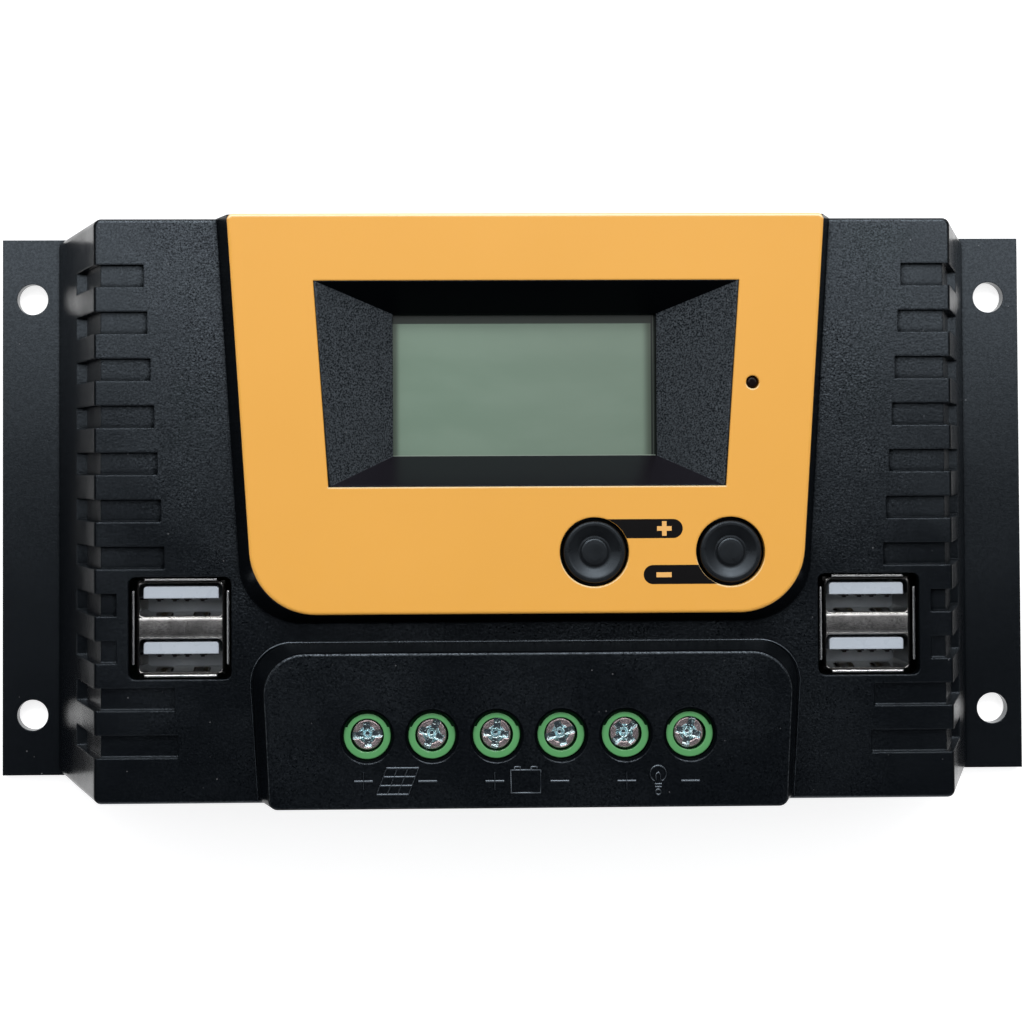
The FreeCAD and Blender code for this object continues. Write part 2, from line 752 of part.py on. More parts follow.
def board_posts():
    posts, uppers, lowers, cover_screws = [], [], [], []
    for i, (x, y) in enumerate(corners_at("post_x", "post_y")):
        tube = cylinder(f"post_{i}", x, y, ("plate_thick", BOARD_LOW), "post_radius")
        thread = cylinder(f"post_thread_{i}", x, y, ("plate_thick - 1", "board_top"), "thread_radius")
        posts.append(cut(f"threaded_post_{i}", tube, [thread]))
        uppers.append(headed_screw(f"upper_screw_{i}", x, y, "board_top", "board_top - 6.5"))
        lowers.append(sunk_screw(f"lower_screw_{i}", x, y, "short_screw"))
    for i, (x, y) in enumerate(corners_at("boss_x", "boss_y")):
        cover_screws.append(sunk_screw(f"cover_screw_{i}", x, y, "long_screw"))
    group("pcb_standoffs", posts)
    group("pcb_screws", uppers)
    group("standoff_screws", lowers)
    group("cover_screws", cover_screws)


def crossed(name, x, y, z, length, width):
    """The two crossed cuts of a driver recess."""
    return [box(f"{name}_a", around(x, length), around(y, width), z),
            box(f"{name}_b", around(x, width), around(y, length), z)]


def headed_screw(name, x, y, seat, low):
    """A screw whose flat round head sits on a surface, threaded down to a height."""
    top = f"{seat} + screw_head_height"
    head = cylinder(f"{name}_head", x, y, (seat, top), "screw_head_radius")
    shank = cylinder(f"{name}_shank", x, y, (low, f"{seat} + 0.5"), "thread_radius - thread_gap")
    recess = crossed(f"{name}_cross", x, y, (f"{top} - cross_deep", f"{top} + 1"), "cross_long", "cross_wide")
    return cut(name, fuse(f"{name}_blank", [head, shank]), recess)


def sunk_screw(name, x, y, length):
    """A countersunk screw driven up through the base plate, its head level with the underside."""
    shank_radius = "thread_radius - thread_gap"
    head = cone(f"{name}_head", x, y, ("sunk_gap", "countersink_depth"), "countersink_radius", shank_radius)
    shank = cylinder(f"{name}_shank", x, y, ("countersink_depth - 0.1", length), shank_radius)
    recess = crossed(f"{name}_cross", x, y, ("-1", "cross_deep"), "cross_long", "cross_wide")
    return cut(name, fuse(f"{name}_blank", [head, shank]), recess)


# ---- wire terminals ----

def terminal_blocks():
    for number, name in enumerate(("pv", "battery", "load")):
        middle = f"{2 * number - 2} * pole_pitch"
        top = "block_height"
        blank = box(f"{name}_blank", around(middle, "block_width"), ("block_front", "block_back"),
                    ("board_top", top))
        collars, rooms = [], []
        for pole in (2 * number, 2 * number + 1):
            x = pole_x(pole)
            tall = (f"{top} - 1", "collar_top")
            collars.append(cylinder(f"collar_{pole}", x, "pole_y", tall, "collar_small_radius"))
            wide = cylinder(f"collar_wide_{pole}", x, "pole_y", tall, "collar_radius")
            beyond = box(f"collar_beyond_{pole}", around(x, "3 * collar_radius"),
                         ("pole_y + collar_step_y", "pole_y + 2 * collar_radius"),
                         (f"{top} - 2", "collar_top + 1"))
            collars.append(cut(f"collar_stepped_{pole}", wide, [beyond]))
            rooms.append(cylinder(f"head_bore_{pole}", x, "pole_y", ("head_seat", "collar_top + 1"),
                                  "collar_bore"))
            rooms.append(cylinder(f"shank_bore_{pole}", x, "pole_y", ("chamber_top - 1", "head_seat + 1"),
                                  "shank_radius + shank_gap"))
            rooms.append(box(f"chamber_{pole}", around(x, "2 * chamber_half"),
                             ("block_front - 1", "chamber_back"), ("chamber_low", "chamber_top")))
            leg_y = ("bar_leg_back - bar_thick - 0.1", "bar_leg_back + 0.1")
            rooms.append(box(f"leg_slot_{pole}", around(x, "2 * bar_half + 0.2"), leg_y,
                             ("board_top - 1", "chamber_low + 1")))
        node(cut(f"{name}_block", fuse(f"{name}_form", [blank, *collars]), rooms), f"terminal_block_{name}")


def terminal_poles():
    bars = []
    for pole in range(6):
        x = pole_x(pole)
        head = cylinder(f"head_{pole}", 0, 0, ("head_seat", "head_top"), "head_radius")
        head = rounded(f"head_round_{pole}", head, value("head_round"), level_at(value("head_top")))
        shank = cylinder(f"shank_{pole}", 0, 0, ("bar_top + 0.05", "head_seat + 1"), "shank_radius")
        above = "head_top + 1"
        recess = crossed(f"drive_{pole}", 0, 0, ("head_top - drive_depth", above), "drive_long", "drive_width")
        recess.append(box(f"drive_slot_{pole}", around("0", "drive_slot_long"), around("0", "drive_width"),
                          ("head_top - drive_slot_deep", above)))
        recess.append(cone(f"drive_cone_{pole}", 0, 0, ("head_top - drive_cone_deep", "head_top + 0.01"),
                           "drive_cone / 4", "drive_cone"))
        screw = cut(f"screw_{pole}", fuse(f"screw_blank_{pole}", [head, shank]), recess)
        turn = Rotation(Vector(0, 0, 1), SCREW_TURNS[pole])
        node(place(screw, x, "pole_y", 0, turn), f"terminal_screw_{pole + 1}")

        cage = box(f"cage_blank_{pole}", around(x, "2 * cage_half"), ("cage_front", "cage_back"),
                   ("cage_low", "cage_top"))
        inside = box(f"cage_inside_{pole}", around(x, "2 * (cage_half - cage_wall)"),
                     ("cage_front - 1", "cage_back + 1"),
                     ("cage_low + cage_plate", "cage_top - cage_plate"))
        thread = cylinder(f"cage_thread_{pole}", x, "pole_y", ("cage_top - cage_plate - 1", "cage_top + 1"),
                          "shank_radius + shank_gap")
        node(cut(f"cage_{pole}", cage, [inside, thread]), f"wire_clamp_{pole + 1}")

        wide = around(x, "2 * bar_half")
        flat = box(f"bar_{pole}", wide, ("bar_front", "bar_leg_back"), ("bar_top - bar_thick", "bar_top"))
        leg = box(f"bar_leg_{pole}", wide, ("bar_leg_back - bar_thick", "bar_leg_back"),
                  (f"{BOARD_LOW} - 1", "bar_top"))
        bars.append(fuse(f"contact_bar_{pole}", [flat, leg]))
    group("terminal_pins", bars)


# ---- power sockets ----

def socket(side, sign):
    """A sheet metal shell with flared lips, two ports with a divider, and a tongue in each port."""
    x = f"{sign} * socket_x"
    foot_outline = rectangle(around(x, "shell_x"), around("socket_y", "shell_y"))
    lip_outline = rectangle(around(x, "lip_x"), around("socket_y", "lip_y"))
    lip_low = "socket_top - lip_height"
    shell = box(f"shell_{side}", around(x, "shell_x"), around("socket_y", "shell_y"),
                ("board_top", f"{lip_low} + 0.01"))
    shell = rounded(f"shell_rounded_{side}", shell, value("shell_round"), upright)
    flare = loft(f"lip_{side}", foot_outline, lip_low, lip_outline, "socket_top")
    core = box(f"core_{side}", around(x, "shell_x"), around("socket_y", "shell_y"),
               (f"{lip_low} - 1", "socket_top - 0.25"))
    core = rounded(f"core_rounded_{side}", core, value("shell_round"), upright)
    flare_room = loft(f"lip_room_{side}", inset(foot_outline, "shell_sheet"), lip_low,
                      inset(lip_outline, "shell_sheet"), "socket_top")
    corners = []
    for corner_x, corner_y in lip_outline:
        corners.append(box(f"lip_corner_{side}", around(corner_x, "2 * lip_corner"),
                           around(corner_y, "2 * lip_corner"), (f"{lip_low} + 0.2", "socket_top + 1")))
    lips = cut(f"lips_{side}", flare, [flare_room, *corners])
    rows = spread("socket_y", "port_pitch", 2)
    rooms = []
    for middle in rows:
        port = box(f"port_{side}", around(x, "port_wide"), around(middle, "port_tall"),
                   ("board_top - 1", "socket_top + 1"))
        rooms.append(rounded(f"port_rounded_{side}", port, value("port_round"), upright))
    rooms.append(box(f"divider_room_{side}", around(x, "port_wide"),
                     around("socket_y", "port_pitch - port_tall - 0.8"), ("board_top - 1", "socket_top - 0.6")))
    body = fuse(f"shell_body_{side}", [shell, core, lips])
    node(cut(f"socket_shell_{side}", body, rooms), f"usb_shell_{side}")

    tongues, contacts = [], []
    base_top = "board_top + socket_base"
    for middle in rows:
        tongue_y = f"{middle} + tongue_shift"
        foot = box(f"socket_foot_{side}", around(x, "port_wide"), around(middle, "port_tall"),
                   ("board_top", base_top))
        foot = rounded(f"socket_foot_rounded_{side}", foot, value("port_round"), upright)
        tongue = box(f"tongue_blank_{side}", around(x, "tongue_wide"), around(tongue_y, "tongue_thick"),
                     (f"{base_top} - 1", "tongue_top"))
        far_edge = value(f"{tongue_y} + tongue_thick / 2")
        tongue = rounded(f"tongue_rounded_{side}", tongue, value("tongue_round"),
                         lambda edge, far=far_edge: upright(edge) and abs(edge.BoundBox.Center.y - far) < 0.1)
        tongues.append(fuse(f"tongue_{side}", [foot, tongue]))
        face_y = f"{tongue_y} - tongue_thick / 2"
        for offset in CONTACTS_X:
            contacts.append(box(f"contact_{side}", around(f"{x} + {offset}", "contact_wide"),
                                (f"{face_y} - contact_thick", face_y), (base_top, "tongue_top - 1.2")))
    group(f"usb_insulator_{side}", tongues)
    group(f"usb_contacts_{side}", contacts)


def inset(outline, size):
    """The corners of a rectangle moved in by a size."""
    ways = ((1, 1), (-1, 1), (-1, -1), (1, -1))
    return [(f"{x} + {size} * {way_x}", f"{y} + {size} * {way_y}")
            for (x, y), (way_x, way_y) in zip(outline, ways)]


# ---- power stage under the board ----

def power_stage():
    """Flat transistors on insulating pads, held down on the plate by one bar."""
    devices, pads, screws, holes = [], [], [], []
    low = "plate_thick + pad_thick"
    case_top = f"{low} + device_tall"
    bar_top = f"{case_top} + clamp_thick"
    lead_z = f"{low} + lead_rise"
    lead_end = "lead_y - lead_thick / 2"
    for i, x in enumerate(spread("0", "device_step", TRANSISTORS)):
        wide = around(x, "device_wide")
        tab = box(f"tab_{i}", wide, ("0", "tab_back"), (low, f"{low} + tab_thick"))
        case = box(f"case_{i}", wide, ("device_front", "device_back"), (low, case_top))
        leads = []
        for k in (-1, 0, 1):
            lead_x = around(f"{x} + {k} * lead_step", "lead_wide")
            leads.append(box(f"lead_{i}", lead_x, (lead_end, "device_front + 0.5"),
                             (lead_z, f"{lead_z} + lead_thick")))
            leads.append(box(f"lead_up_{i}", lead_x, around("lead_y", "lead_thick"),
                             (lead_z, "board_top + 0.8")))
        devices.append(fuse(f"transistor_{i}", [tab, case, *leads]))
        pads.append(box(f"pad_{i}", around(x, "device_wide + 2 * pad_margin"),
                        ("device_front - pad_margin", "tab_back + pad_margin"), ("plate_thick", low)))
    group("mosfets", devices)
    group("thermal_pads", pads)
    bar = box("clamp_blank", ("-clamp_half", "clamp_half"), ("clamp_front", "0"), (case_top, bar_top))
    for x in spread("0", "clamp_screw_x", 3):
        holes.append(cylinder("clamp_hole", x, "clamp_y", (low, f"{bar_top} + 1"), "thread_radius + 0.1"))
        screws.append(headed_screw("clamp_screw", x, "clamp_y", bar_top, "0.3"))
    node(cut("clamp_bar", bar, holes), "mosfet_clamp_bar")
    group("clamp_screws", screws)


# ---- parts on top of the board ----

def on_board(lift, tall):
    """The (low, high) pair of a piece lifted off the board by a gap."""
    return f"board_top + {lift}", f"board_top + {lift} + {tall}"


def board_parts():
    cans = []
    for y in spread("can_y", "can_step", 3):
        can = cylinder("can", "can_x", y, on_board("0", "can_tall"), "can_radius")
        cans.append(rounded("can_rounded", can, value("can_round"), level_at(value("board_top + can_tall"))))
    group("capacitors", cans)
    wound_ring()

    blades = []
    for y in spread("fuse_y", "fuse_step", 2):
        body = box("fuse_body", around("fuse_x", "fuse_long"), around(y, "fuse_wide"),
                   on_board("fuse_lift", "fuse_tall"))
        legs = [box("fuse_leg", around(f"fuse_x + {way} * blade_x", "blade_wide"), around(y, "blade_thick"),
                    on_board("0", "fuse_lift + 0.5")) for way in (-1, 1)]
        blades.append(fuse("blade_fuse", [body, *legs]))
    group("fuses", blades)
    controller_chip()
    group("regulators", flat_pair("regulator_x", "regulator_y"))
    group("schottky_diodes", flat_pair("diode_x", "diode_y"))

    shunts = []
    for x in spread("shunt_x", "shunt_step", 2):
        wide = around(x, "shunt_wide")
        top = box("shunt_top", wide, around("shunt_y", "shunt_long"), on_board("shunt_tall - 1", "1"))
        legs = [box("shunt_leg", wide, around(f"shunt_y + {way} * (shunt_long / 2 - 0.5)", "1"),
                    on_board("0", "shunt_tall - 0.2")) for way in (-1, 1)]
        shunts.append(fuse("shunt", [top, *legs]))
    group("shunt_resistors", shunts)
    chips = []
    for y in spread("small_y", "small_step_y", 2):
        for x in spread("small_x", "small_step_x", SMALL_PARTS):
            chips.append(box("small_part", around(x, "small_long"), around(y, "small_wide"),
                             on_board("0", "small_tall")))
    group("small_components", chips)


def wound_ring():
    """A ring of ferrite with separate turns of thick wire round it."""
    ring = cylinder("ring_blank", "ring_x", "ring_y", on_board("ring_lift", "ring_tall"), "ring_radius")
    hole = cylinder("ring_hole", "ring_x", "ring_y", on_board("0", "ring_lift + ring_tall + 1"), "ring_bore")
    node(cut("ring_core", ring, [hole]), "inductor_core")
    turns = []
    reach = "wire_gap + wire_thick"
    for i in range(WINDING_TURNS):
        outer = box(f"turn_outer_{i}", (f"ring_bore - ({reach})", f"ring_radius + {reach}"), ("-0.5", "0.5"),
                    on_board(f"ring_lift - ({reach})", f"ring_tall + 2 * ({reach})"))
        inner = box(f"turn_inner_{i}", ("ring_bore - wire_gap", "ring_radius + wire_gap"), ("-1", "1"),
                    on_board("ring_lift - wire_gap", "ring_tall + 2 * wire_gap"))
        spin = Rotation(Vector(0, 0, 1), 360.0 / WINDING_TURNS * i)
        turns.append(place(cut(f"turn_{i}", outer, [inner]), "ring_x", "ring_y", 0, spin))
    group("inductor_winding", turns)


def controller_chip():
    """A flat square chip with a row of legs on each side."""
    chip = box("chip_body", around("chip_x", "chip_side"), around("chip_y", "chip_side"),
               on_board("0.1", "chip_tall - 0.1"))
    legs = []
    for way in (-1, 1):
        reach = f"{way} * (chip_side + chip_leg - 0.2) / 2"
        for x in spread("chip_x", "chip_leg_step", CHIP_LEGS):
            legs.append(box("chip_leg", around(x, "chip_leg_wide"), around(f"chip_y + {reach}", "chip_leg"),
                            on_board("0", "0.5")))
        for y in spread("chip_y", "chip_leg_step", CHIP_LEGS):
            legs.append(box("chip_leg", around(f"chip_x + {reach}", "chip_leg"), around(y, "chip_leg_wide"),
                            on_board("0", "0.5")))
    node(fuse("chip", [chip, *legs]), "microcontroller")


def flat_pair(x, y):
    return [box("flat_part", around(place_x, "flat_part_x"), around(y, "flat_part_y"),
                on_board("0", "flat_part_tall")) for place_x in spread(x, "pair_step", 2)]


base_plate()
top_cover()
face_panel()
buttons()
indicator()
display()
main_board()
board_posts()
terminal_blocks()
terminal_poles()
for side_name, side_sign in SIDES.items():
    socket(side_name, side_sign)
power_stage()
board_parts()
doc.recompute()

for thing in doc.Objects:
    if {"Invalid", "Error"} & set(thing.State):
        raise RuntimeError(f"{thing.Name} failed: {thing.State}")
os.makedirs("parts", exist_ok=True)
for thing in NODES:
    shape = thing.Shape
    if shape.isNull() or not shape.isValid() or not shape.Solids:
        raise RuntimeError(f"{thing.Label} has no valid solid")
    shape.exportStep(os.path.join("parts", f"{thing.Label}.step"))
    print(f"{thing.Label:24s} solids {len(shape.Solids):3d}  volume {shape.Volume:10.1f}")
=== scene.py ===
import json
import math

import bmesh
import bpy
from mathutils import Euler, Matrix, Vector


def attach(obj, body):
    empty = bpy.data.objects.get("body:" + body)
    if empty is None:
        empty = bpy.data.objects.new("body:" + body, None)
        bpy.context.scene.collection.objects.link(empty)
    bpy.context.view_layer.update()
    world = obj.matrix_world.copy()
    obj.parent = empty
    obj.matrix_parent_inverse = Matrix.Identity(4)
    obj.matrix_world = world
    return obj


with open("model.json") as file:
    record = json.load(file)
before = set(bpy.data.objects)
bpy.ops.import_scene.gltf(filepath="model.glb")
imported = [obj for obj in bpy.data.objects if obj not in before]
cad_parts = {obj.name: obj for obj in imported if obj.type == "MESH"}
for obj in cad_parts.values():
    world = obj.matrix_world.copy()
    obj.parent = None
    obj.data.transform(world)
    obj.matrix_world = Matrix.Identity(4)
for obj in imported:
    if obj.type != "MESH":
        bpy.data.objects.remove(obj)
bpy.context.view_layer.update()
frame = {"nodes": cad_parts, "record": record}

MM = 0.001

# Heights and places of the parts that the materials and the extra pieces follow, in millimetres.
FACE_TOP = 45.5
DECK_TOP = 38.0
COVER_END_Y = -46.8
HOOD_REGION_Y = -20.3  # nearer the terminals than this, the deck counts as part of the hood
HOOD_FAR_Y = -22.3
HOOD_SIDE = 42.95  # half the width of the hood's foot
HOOD_CORNER = (37.53, -27.82)  # centre of the arc at each far corner of that foot
HOOD_CORNER_RADIUS = 6.6
GLASS_LEFT = -20.9
GLASS_RIGHT = 20.9
GLASS_SHADOW_Y = 29.86  # where the painted shadow strip at the display's far end begins
GLASS_NEAR_Y = 8.6
HEAD_TOP = 43.0  # top of a terminal screw
HEAD_LOW = 40.2
BUTTON_LEFT = (10.45, -6.7)
BUTTON_RIGHT = (31.95, -6.7)
BUTTON_HOLE = 5.5
SOCKET_X = 55.35
SOCKET_Y = -18.8
PORT_PITCH = 8.9
PORT_TALL = 5.4
PORT_WIDE = 13.3
SHELL_HALF_X = 6.64  # half the width of the metal between the gaps round the ports
LIP_Z = 36.74  # only the shell's proud rims reach above this height
TONGUE_FACE = 0.2


# ---- materials ----

BLACK = (0.0018, 0.0024, 0.0032)
SCUFFED = (0.30, 0.30, 0.31)
COOL = (0.86, 1.0, 1.14, 1.0)  # a faint blue sheen on the black pieces


class Shader:
    """Builds one procedural material out of nodes."""

    def __init__(self, name):
        self.material = bpy.data.materials.new(name)
        self.material.use_nodes = True
        self.nodes = self.material.node_tree.nodes
        self.links = self.material.node_tree.links
        self.nodes.clear()
        spots = self.add("ShaderNodeTexCoord")
        self.place = spots.outputs["Object"]
        self.x, self.y, self.z = self.split(self.place)
        self.facing = self.split(spots.outputs["Normal"])

    def add(self, kind, inputs=None, **settings):
        made = self.nodes.new(kind)
        for name, setting in settings.items():
            setattr(made, name, setting)
        for name, source in (inputs or {}).items():
            if isinstance(source, bpy.types.NodeSocket):
                self.links.new(source, made.inputs[name])
            else:
                made.inputs[name].default_value = source
        return made

    def split(self, vector):
        return self.add("ShaderNodeSeparateXYZ", {0: vector}).outputs[:3]

    def math(self, operation, a, b=0.0):
        return self.add("ShaderNodeMath", {0: a, 1: b}, operation=operation).outputs[0]

    def times(self, first, *others):
        for other in others:
            first = self.math("MULTIPLY", first, other)
        return first

    def size(self, source):
        return self.math("ABSOLUTE", source)

    def ramp(self, source, low, high, start=0.0, end=1.0):
        """A smooth change from start to end while the source goes from low to high."""
        made = self.add("ShaderNodeMapRange", {0: source, 1: low, 2: high, 3: start, 4: end},
                        interpolation_type="SMOOTHSTEP")
        return made.outputs[0]

    def mix(self, share, a, b):
        return self.add("ShaderNodeMix", {0: share, 2: a, 3: b}).outputs[0]

    def tint(self, share, a, b):
        a, b = ((*c, 1.0) if isinstance(c, tuple) else c for c in (a, b))
        return self.add("ShaderNodeMix", {0: share, 6: a, 7: b}, data_type="RGBA").outputs[2]

    def stretched(self, x, y, z):
        made = self.add("ShaderNodeVectorMath", {0: self.place, 1: (x, y, z)}, operation="MULTIPLY")
        return made.outputs[0]

    def noise(self, size_mm, detail=2.0, where=None):
        return self.add("ShaderNodeTexNoise", {"Vector": where or self.place, "Scale": 1000 / size_mm,
                                               "Detail": detail}).outputs[0]

    def cells(self, size_mm, feature="F1"):
        return self.add("ShaderNodeTexVoronoi", {"Vector": self.place, "Scale": 1000 / size_mm},
                        feature=feature).outputs["Distance"]

    def specks(self, size_mm, share):
        """1 inside rare small dots, 0 elsewhere."""
        made = self.add("ShaderNodeTexVoronoi", {"Vector": self.place, "Scale": 1000 / size_mm})
        rare = self.math("LESS_THAN", self.split(made.outputs["Color"])[0], share)
        return self.times(rare, self.ramp(made.outputs["Distance"], 0.06, 0.14, 1.0, 0.0))

    def bump(self, height, depth_mm, under=None):
        inputs = {"Height": height, "Distance": depth_mm * MM, "Strength": 1.0}
        if under:
            inputs["Normal"] = under
        return self.add("ShaderNodeBump", inputs).outputs[0]

    def soft_edges(self, radius_mm):
        return self.add("ShaderNodeBevel", {"Radius": radius_mm * MM}, samples=4).outputs[0]

    def openness(self, reach_mm, shut, open):
        """From shut in tight corners to open where nothing stands near."""
        near = self.add("ShaderNodeAmbientOcclusion", {"Distance": reach_mm * MM}, samples=6)
        return self.ramp(near.outputs["AO"], 0.45, 0.96, shut, open)

    def gloss(self, face_on, grazing):
        """The strength of reflections: one value seen face on, another seen along the surface."""
        turned = self.add("ShaderNodeLayerWeight", {"Blend": 0.5}).outputs["Facing"]
        return self.ramp(turned, 0.35, 0.65, face_on, grazing)

    def finish(self, colour, roughness, **more):
        """Ends the material with one surface and gives it back."""
        if isinstance(colour, tuple):
            colour = (*colour, 1.0)
        inputs = {"Base Color": colour, "Roughness": roughness}
        for name, source in more.items():
            inputs[name.replace("_", " ")] = source
        surface = self.add("ShaderNodeBsdfPrincipled", inputs)
        self.add("ShaderNodeOutputMaterial", {"Surface": surface.outputs[0]})
        return self.material


def cover_plastic():
    """Black moulded plastic: a leathery grain on what faces up, smooth and shiny on the side walls; the
    display funnel's walls are coloured lighter as painted sheen, and its near wall, facing the light, as
    painted light.
    """
    s = Shader("cover_plastic")
    rounded = s.soft_edges(0.35)
    tilt = s.size(s.split(rounded)[0])
    # Regions of the cover, each 1 inside and 0 outside.
    up = s.ramp(s.facing[2], 0.72, 0.84)
    steep = s.ramp(s.facing[2], 0.55, 0.35)
    above_deck = s.ramp(s.z, (DECK_TOP + 0.1) * MM, (DECK_TOP + 0.4) * MM)
    near_hood = s.ramp(s.y, (HOOD_REGION_Y + 0.3) * MM, (HOOD_REGION_Y - 0.3) * MM)
    funnel = s.times(above_deck, s.ramp(s.size(s.facing[0]), 0.2, 0.4), up)
    lit_sill = s.times(s.ramp(s.facing[1], 0.3, 0.5), s.math("SUBTRACT", above_deck, near_hood))
    hood_slope = s.times(s.ramp(s.facing[2], 0.92, 0.80), above_deck, near_hood)
    wall = s.math("MAXIMUM", steep, hood_slope)
    # Grain: strongest beside the yellow block and in the display opening, faint near the outer edges.
    near_block = s.ramp(s.size(s.x), 53 * MM, 66 * MM, 0.9, 0.45)
    patchy = s.ramp(s.noise(9.0), 0.25, 0.75, 0.6, 1.1)
    strength = s.times(near_block, patchy, up)
    grain = s.math("ADD", s.cells(0.42, "SMOOTH_F1"), s.noise(0.26))
    relief = s.times(grain, s.math("ADD", strength, s.times(steep, 0.5)))
    pebble = s.math("SUBTRACT", s.noise(0.27, 1.0), 0.5)
    glint = s.math("ADD", s.times(pebble, strength, s.mix(funnel, 4.2, 7.5)), 1.0)
    # Edges that turn away from the light lie in the shade of the raised block.
    inside_end = s.ramp(s.y, (COVER_END_Y + 0.6) * MM, (COVER_END_Y + 1.2) * MM)
    front_facing = s.times(s.ramp(s.facing[1], -0.3, -0.6), above_deck, inside_end)
    deck_edge = s.times(s.ramp(tilt, 0.10, 0.40), s.ramp(s.z, (DECK_TOP - 1.4) * MM, (DECK_TOP - 1.1) * MM))
    far_end = s.ramp(s.y, (HOOD_FAR_Y - 1.7) * MM, (HOOD_FAR_Y - 1.2) * MM)
    hood_back = s.times(steep, above_deck, near_hood, far_end)
    shaded = s.math("MAXIMUM", front_facing, s.math("SUBTRACT", deck_edge, above_deck))
    shaded = s.math("MAXIMUM", shaded, hood_back)
    tight = s.mix(s.math("MAXIMUM", near_hood, above_deck), s.openness(1.1, 0.03, 1.0), 1.0)
    side_rim = s.times(s.ramp(tilt, 0.12, 0.35), near_hood, above_deck)
    # How strongly each place shines.
    plain_wall = s.math("MAXIMUM", steep, s.math("SUBTRACT", 1.0, above_deck))
    wall_gloss = s.mix(plain_wall, 0.04, s.gloss(0.42, 0.04))
    level = s.mix(wall, s.mix(funnel, 0.5, 0.42), wall_gloss)
    level = s.mix(shaded, level, 0.02)
    level = s.times(level, glint, tight, s.mix(side_rim, 1.0, 0.25))
    rough = s.mix(funnel, s.ramp(s.noise(14.0, 4.0), 0.3, 0.7, 0.18, 0.25), 0.42)
    # The funnel walls get a lighter grained colour: the grain is real, and its lightness is painted sheen.
    grain_and_sheen = s.tint(s.ramp(pebble, -0.15, 0.15), (0.0100, 0.0120, 0.0140), (0.0260, 0.0295, 0.0325))
    body = s.tint(steep, BLACK, (0.0024, 0.0031, 0.0041))
    # painted light: the funnel's near wall, which faces the light, is coloured lighter
    body = s.tint(lit_sill, s.tint(funnel, body, grain_and_sheen), (0.0086, 0.0072, 0.0100))
    colour = s.tint(s.times(s.specks(1.1, 0.03), s.mix(up, 0.02, 0.3)), body, SCUFFED)
    return s.finish(colour, rough, Normal=s.bump(relief, 0.015, rounded), Specular_Tint=COOL,
                    Specular_IOR_Level=level)


def moulded_line():
    """Smooth black plastic of the fine raised lines, brightest where it turns toward the light."""
    s = Shader("moulded_line")
    level = s.ramp(s.size(s.facing[0]), 0.15, 0.55, 1.6, 0.03)
    return s.finish(BLACK, s.ramp(s.noise(1.5), 0.3, 0.7, 0.24, 0.30), Specular_Tint=COOL,
                    Specular_IOR_Level=level)


def black_plate():
    """Sheet metal with a fine satin black coat."""
    s = Shader("black_plate")
    coat = s.math("ADD", s.noise(0.28), s.noise(1.1))
    rough = s.ramp(s.noise(25.0, 5.0), 0.3, 0.7, 0.205, 0.235)
    colour = s.tint(s.times(s.specks(1.3, 0.03), 0.35), BLACK, SCUFFED)
    pebble = s.ramp(s.noise(0.4, 1.0), 0.3, 0.7, 0.44, 0.62)
    return s.finish(colour, rough, Normal=s.bump(coat, 0.006, s.soft_edges(0.2)), Specular_Tint=COOL,
                    Specular_IOR_Level=s.times(pebble, s.openness(0.7, 0.3, 1.0)))


def face_plastic():
    """Orange-yellow satin plastic; its rims that tilt toward the light carry a painted highlight: a paler
    colour and a stronger reflection.
    """
    s = Shader("face_plastic")
    clouds = s.noise(30.0, 3.0)
    rounded = s.soft_edges(0.42)
    # painted highlight: rounded rims tilted toward the light are coloured paler and reflect more
    lit_rim = s.times(s.ramp(s.split(rounded)[1], 0.06, 0.26), s.ramp(s.facing[2], 0.5, 0.9))
    flat = s.tint(clouds, (0.80, 0.388, 0.059), (0.85, 0.418, 0.068))
    return s.finish(s.tint(lit_rim, flat, (1.0, 0.86, 0.52)), s.ramp(s.noise(2.0), 0.3, 0.7, 0.40, 0.48),
                    Normal=s.bump(s.noise(0.30), 0.004, rounded), Specular_IOR_Level=s.mix(lit_rim, 0.4, 1.0))


def button_plastic():
    """Dark moulded rubbery plastic."""
    s = Shader("button_plastic")
    colour = s.tint(s.times(s.specks(1.2, 0.06), 0.4), (0.0042, 0.0046, 0.0052), (0.12, 0.12, 0.12))
    return s.finish(colour, s.ramp(s.noise(1.5), 0.3, 0.7, 0.27, 0.33), Specular_Tint=COOL,
                    Normal=s.bump(s.noise(0.22), 0.004, s.soft_edges(0.2)),
                    Specular_IOR_Level=s.times(s.openness(0.8, 0.3, 1.0), 0.36))


def printed_black():
    """Black screen print."""
    s = Shader("printed_black")
    colour = s.tint(s.noise(6.0), (0.0040, 0.0036, 0.0040), (0.0060, 0.0054, 0.0058))
    return s.finish(colour, 0.30, Normal=s.bump(s.noise(0.35), 0.003), Specular_IOR_Level=0.1)


def printed_yellow():
    """Yellow screen print of the signs."""
    s = Shader("printed_yellow")
    colour = s.tint(s.noise(1.2), (0.80, 0.42, 0.11), (0.88, 0.47, 0.13))
    return s.finish(colour, 0.5, Normal=s.bump(s.noise(0.3), 0.003))


